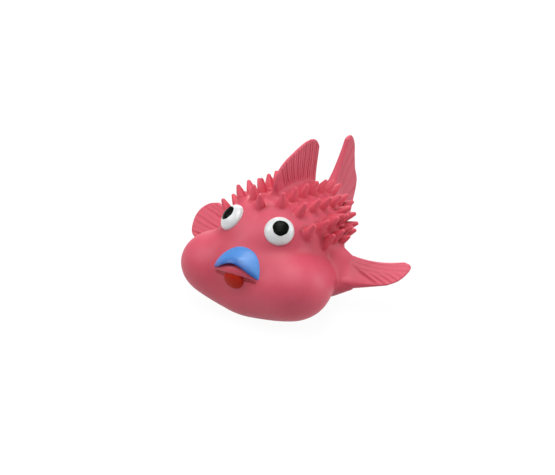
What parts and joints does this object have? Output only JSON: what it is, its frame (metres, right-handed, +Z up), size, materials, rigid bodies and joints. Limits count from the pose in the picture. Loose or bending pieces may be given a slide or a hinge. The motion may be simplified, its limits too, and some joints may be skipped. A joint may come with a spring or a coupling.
{
  "type": "squeaky fish dog toy",
  "caption": "Hollow moulded latex fish toy with soft spikes, bendable fins, painted face and a push-in belly squeaker; squeeze the back to sound it.",
  "frame": {"origin": "on the floor under the middle of the toy's bounding box, which stands on its flat belly", "axes": "-Y is the way the face looks, +Y towards the tail, +X towards the fish's left flank, +Z up"},
  "size_m": [0.1605, 0.146, 0.0938],
  "materials": {
    "pink_latex": "matte",
    "white_paint": "satin",
    "black_paint": "satin",
    "blue_paint": "gloss",
    "red_paint": "satin",
    "white_plastic": "satin",
    "reed_film": "satin",
    "polyester_fibre": "matte"
  },
  "bodies": {
    "belly": {"belly_skin": "pink_latex", "squeaker_housing": "white_plastic", "squeaker_cap": "white_plastic", "reed_base": "white_plastic", "reed_clamp": "white_plastic", "fibre_filling": "polyester_fibre"},
    "back": {"spiny_skin": "pink_latex", "left_eye_white": "white_paint", "right_eye_white": "white_paint", "left_pupil": "black_paint", "right_pupil": "black_paint", "upper_lip": "blue_paint", "tongue": "red_paint"},
    "dorsal": {"dorsal_fin": "pink_latex"},
    "tail": {"tail_fin": "pink_latex"},
    "left_pectoral": {"left_pectoral_fin": "pink_latex"},
    "right_pectoral": {"right_pectoral_fin": "pink_latex"},
    "reed_strip": {"reed": "reed_film"}
  },
  "joints": [
    {"name": "squeeze", "type": "slide", "parent": "belly", "child": "back", "axis": [0, 0, -1], "range_m": [0, 0.008], "stiffness_N_per_m": 1200, "springref_m": -0.002, "deforming": ["belly_skin", "fibre_filling"]},
    {"name": "dorsal_flex", "type": "hinge", "parent": "back", "child": "dorsal", "pos_m": [0, -0.00373, 0.07135], "axis": [0, 0.9916, -0.1293], "range_deg": [-20, 20], "stiffness_Nm_per_rad": 0.12},
    {"name": "tail_flex", "type": "hinge", "parent": "back", "child": "tail", "pos_m": [0, 0.04842, 0.04025], "axis": [0, -0.0955, 0.9954], "range_deg": [-25, 25], "stiffness_Nm_per_rad": 0.12},
    {"name": "left_pectoral_flex", "type": "hinge", "parent": "back", "child": "left_pectoral", "pos_m": [0.04018, -0.01073, 0.02425], "axis": [-0.1922, 0.5465, 0.8151], "range_deg": [-20, 20], "stiffness_Nm_per_rad": 0.12},
    {"name": "right_pectoral_flex", "type": "hinge", "parent": "back", "child": "right_pectoral", "pos_m": [-0.04018, -0.01073, 0.02425], "axis": [-0.1922, -0.5465, -0.8151], "range_deg": [-20, 20], "stiffness_Nm_per_rad": 0.12},
    {"name": "reed_flutter", "type": "hinge", "parent": "belly", "child": "reed_strip", "pos_m": [0, -0.01087, 0.00522], "axis": [1, 0, 0], "range_deg": [0, 8], "stiffness_Nm_per_rad": 0.00001, "springref_deg": -1.72}
  ]
}
